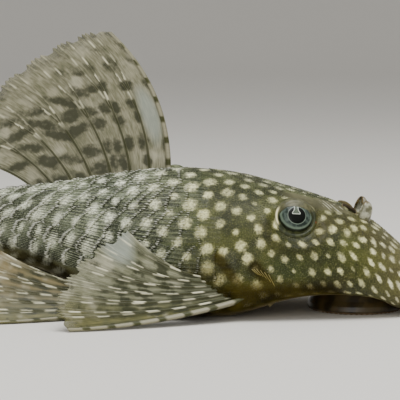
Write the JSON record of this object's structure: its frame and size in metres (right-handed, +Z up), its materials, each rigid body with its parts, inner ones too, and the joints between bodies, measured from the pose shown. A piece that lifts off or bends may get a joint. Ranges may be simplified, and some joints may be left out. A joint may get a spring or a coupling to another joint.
{
  "type": "bristlenose pleco, still model",
  "caption": "Life-size still model of a bristlenose pleco resting on its belly, dorsal fin raised and paired fins spread.",
  "frame": {"origin": "middle of the overall length and width, on the level surface that the fish rests on", "axes": "+X towards the snout, +Y to the fish's left, +Z up"},
  "size_m": [0.132, 0.0514, 0.0474],
  "materials": {
    "skin": "satin",
    "fins": "satin",
    "lips": "satin",
    "eyes": "gloss"
  },
  "bodies": {
    "root": {"head": "skin", "trunk": "skin", "tail_stalk": "skin", "sucker_mouth": "lips", "eye_left": "eyes", "eye_right": "eyes", "dorsal_fin": "fins", "adipose_fin": "fins", "tail_fin": "fins", "anal_fin": "fins", "pectoral_fin_left": "fins", "pectoral_fin_right": "fins", "pelvic_fin_left": "fins", "pelvic_fin_right": "fins"}
  },
  "joints": []
}
